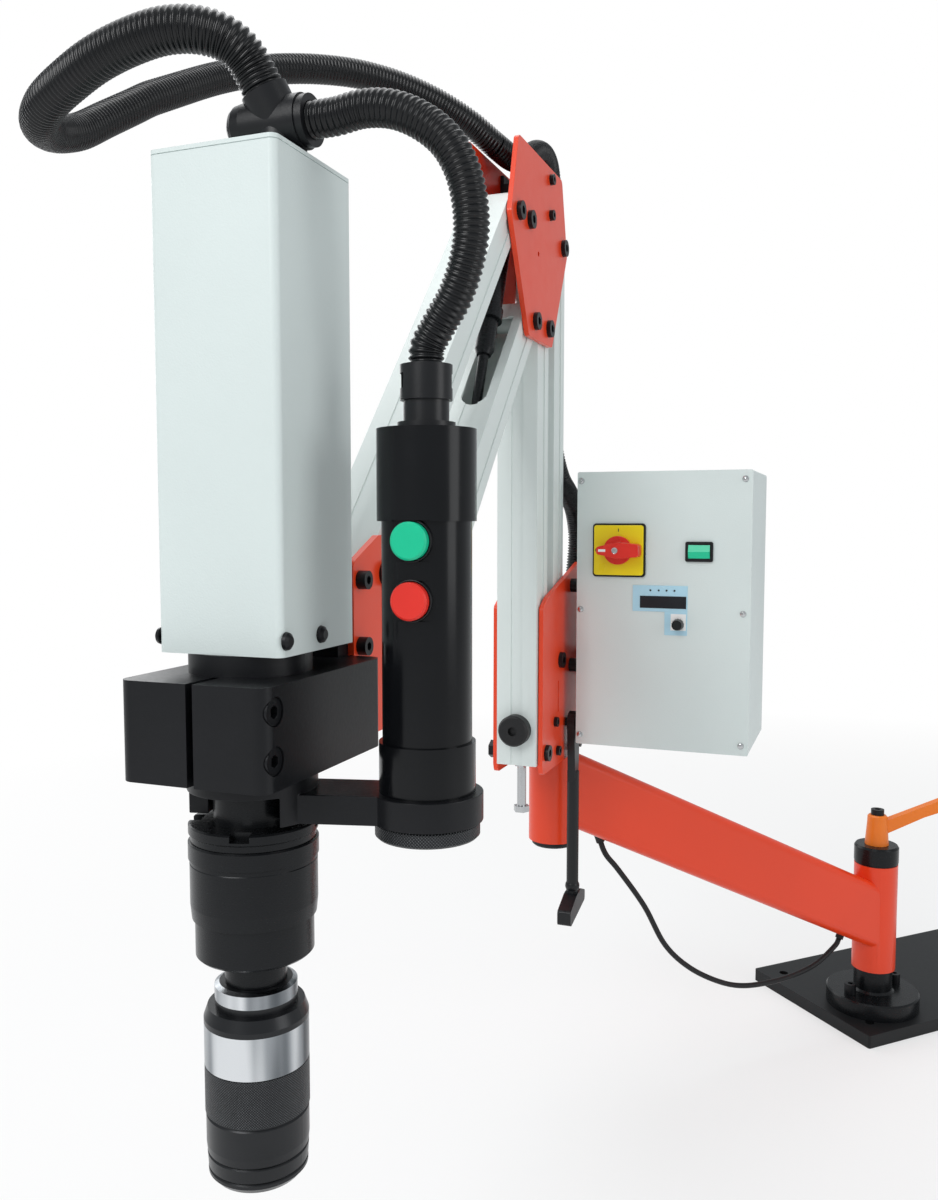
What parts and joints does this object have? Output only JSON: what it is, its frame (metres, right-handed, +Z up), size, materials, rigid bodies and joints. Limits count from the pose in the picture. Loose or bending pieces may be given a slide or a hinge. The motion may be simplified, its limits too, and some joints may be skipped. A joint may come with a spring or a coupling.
{
  "type": "electric arm tapping machine",
  "caption": "Bench tapping machine: a swing arm and two parallel linkages with a gas spring carry a motor head, tap chuck, push button handle and control box.",
  "frame": {"origin": "column axis at the underside of the base plate", "axes": "+Z up along the column; +X along the base plate's length, away from the swing arm at rest"},
  "size_m": [1.4455, 0.7333, 1.1607],
  "materials": {
    "orange_paint": "satin powder coat",
    "lever_paint": "satin paint on a casting",
    "pale_paint": "fine powder coat",
    "beam_paint": "coated extrusion",
    "black_metal": "black oxide, satin",
    "black_anodised": "black anodised, satin",
    "black_plastic": "moulded",
    "steel": "turned",
    "rubber": "matt",
    "hose_plastic": "ribbed, soft sheen",
    "yellow_plastic": "satin",
    "red_plastic": "satin",
    "green_plastic": "satin",
    "display_film": "membrane"
  },
  "bodies": {
    "base": {"base_plate": "black_metal", "column": "black_metal", "column_screws": "black_metal", "column_cap": "black_metal"},
    "clamp": {"clamp_lever": "lever_paint", "clamp_lever_screw": "black_metal"},
    "swing": {"swing_arm": "orange_paint", "pivot_bushes": "steel", "arm_caps": "rubber", "mains_cable": "rubber"},
    "bracket": {"swivel_spindle": "steel", "bracket_plate_left": "orange_paint", "bracket_plate_right": "orange_paint", "bracket_base": "orange_paint", "bracket_pins": "black_metal", "box_spacers": "black_metal", "box_shell": "pale_paint", "box_cover": "pale_paint", "box_screws": "steel", "display_panel": "display_film", "switch_plate": "yellow_plastic", "panel_frames": "black_plastic", "box_hose_fitting": "black_plastic", "column_hose": "hose_plastic"},
    "main_switch": {"main_switch_knob": "red_plastic"},
    "rocker": {"power_rocker": "green_plastic"},
    "speed": {"speed_knob": "black_plastic"},
    "prop": {"parking_lever": "black_plastic"},
    "lower_front": {"lower_front_beam": "beam_paint", "beam_bumper": "rubber", "stop_bolt": "steel"},
    "lower_rear": {"lower_rear_beam": "beam_paint"},
    "elbow": {"elbow_plate_left": "orange_paint", "elbow_plate_right": "orange_paint", "elbow_pins": "black_metal", "elbow_loop_hose": "hose_plastic"},
    "forearm_upper": {"forearm_upper_beam": "beam_paint"},
    "forearm_lower": {"forearm_lower_beam": "beam_paint"},
    "gas_tube": {"gas_spring_tube": "black_metal"},
    "gas_rod": {"gas_spring_rod": "black_metal"},
    "head": {"head_plate_left": "orange_paint", "head_plate_right": "orange_paint", "head_pins": "black_metal", "clamp_block": "black_anodised", "head_screws": "black_metal", "gear_motor": "black_anodised", "motor_cover": "pale_paint", "tee_fitting": "black_plastic", "handle_arm": "black_anodised", "handle_body": "black_anodised", "handle_nut": "black_anodised", "handle_fitting": "black_plastic", "handle_hose": "hose_plastic", "head_loop_hose": "hose_plastic"},
    "start_button": {"green_button": "green_plastic"},
    "stop_button": {"red_button": "red_plastic"},
    "spindle": {"chuck_body": "black_metal", "tap_adapter": "steel", "torque_ring": "black_metal"},
    "sleeve": {"chuck_sleeve": "black_metal"}
  },
  "joints": [
    {"name": "column_swivel", "type": "hinge", "parent": "base", "child": "swing", "pos_m": [0, 0, 0.151], "axis": [0, 0, 1], "range_deg": [-170, 170]},
    {"name": "clamp_turn", "type": "hinge", "parent": "base", "child": "clamp", "pos_m": [0, 0, 0.277], "axis": [0, 0, 1], "range_deg": [-60, 60]},
    {"name": "bracket_swivel", "type": "hinge", "parent": "swing", "child": "bracket", "pos_m": [-0.532, 0, 0.385], "axis": [0, 0, 1], "range_deg": [-150, 50]},
    {"name": "lower_arm", "type": "hinge", "parent": "bracket", "child": "lower_rear", "pos_m": [-0.58291, -0.05091, 0.5623], "axis": [0.7071, -0.7071, 0], "range_deg": [-6, 55], "deforming": ["column_hose"]},
    {"name": "lower_arm_front", "type": "hinge", "parent": "bracket", "child": "lower_front", "pos_m": [-0.62109, -0.08909, 0.4653], "axis": [0.7071, -0.7071, 0], "range_deg": [-6, 55]},
    {"name": "elbow_level", "type": "hinge", "parent": "lower_rear", "child": "elbow", "pos_m": [-0.58291, -0.05091, 1.0233], "axis": [0.7071, -0.7071, 0], "range_deg": [-55, 6]},
    {"name": "forearm", "type": "hinge", "parent": "elbow", "child": "forearm_upper", "pos_m": [-0.69251, -0.16051, 1.0233], "axis": [0.7071, -0.7071, 0], "range_deg": [-35, 20], "deforming": ["elbow_loop_hose", "head_loop_hose"]},
    {"name": "forearm_under", "type": "hinge", "parent": "elbow", "child": "forearm_lower", "pos_m": [-0.65433, -0.12233, 0.9263], "axis": [0.7071, -0.7071, 0], "range_deg": [-35, 20]},
    {"name": "head_level", "type": "hinge", "parent": "forearm_upper", "child": "head", "pos_m": [-0.91077, -0.37877, 0.6829], "axis": [0.7071, -0.7071, 0], "range_deg": [-20, 35]},
    {"name": "gas_spring_swing", "type": "hinge", "parent": "elbow", "child": "gas_tube", "pos_m": [-0.66847, -0.13647, 1.0233], "axis": [0.7071, -0.7071, 0], "range_deg": [-23.5, 13.5]},
    {"name": "gas_spring_stroke", "type": "slide", "parent": "gas_tube", "child": "gas_rod", "axis": [-0.2659, -0.2659, -0.9266], "range_m": [-0.0375, 0.0215]},
    {"name": "prop_swing", "type": "hinge", "parent": "bracket", "child": "prop", "pos_m": [-0.53801, -0.05904, 0.4863], "axis": [0.7071, -0.7071, 0], "range_deg": [-60, 0]},
    {"name": "main_switch_turn", "type": "hinge", "parent": "bracket", "child": "main_switch", "pos_m": [-0.50867, -0.10819, 0.6883], "axis": [-0.7071, -0.7071, 0], "range_deg": [0, 90]},
    {"name": "rocker_tilt", "type": "hinge", "parent": "bracket", "child": "rocker", "pos_m": [-0.44573, -0.17112, 0.6873], "axis": [0.7071, -0.7071, 0], "range_deg": [-8, 8]},
    {"name": "speed_turn", "type": "hinge", "parent": "bracket", "child": "speed", "pos_m": [-0.46129, -0.15556, 0.6063], "axis": [-0.7071, -0.7071, 0], "range_deg": [-150, 150]},
    {"name": "start_push", "type": "slide", "parent": "head", "child": "start_button", "axis": [0.6561, 0.7547, 0], "range_m": [0, 0.003], "stiffness_N_per_m": 600, "springref_m": -0.003},
    {"name": "stop_push", "type": "slide", "parent": "head", "child": "stop_button", "axis": [0.6561, 0.7547, 0], "range_m": [0, 0.003], "stiffness_N_per_m": 600, "springref_m": -0.003},
    {"name": "spindle_turn", "type": "hinge", "parent": "head", "child": "spindle", "pos_m": [-1.00446, -0.47246, 0.52], "axis": [0, 0, 1], "continuous": true},
    {"name": "sleeve_release", "type": "slide", "parent": "spindle", "child": "sleeve", "axis": [0, 0, -1], "range_m": [0, 0.005], "stiffness_N_per_m": 3000, "springref_m": -0.006}
  ],
  "couplings": [
    {"joint": "lower_arm_front", "follows": "lower_arm", "ratio": 1},
    {"joint": "elbow_level", "follows": "lower_arm", "ratio": -1},
    {"joint": "forearm_under", "follows": "forearm", "ratio": 1},
    {"joint": "head_level", "follows": "forearm", "ratio": -1},
    {"joint": "gas_spring_swing", "follows": "forearm", "ratio": 0.66},
    {"joint": "gas_spring_stroke", "follows": "forearm", "m_per_rad": 0.06}
  ]
}
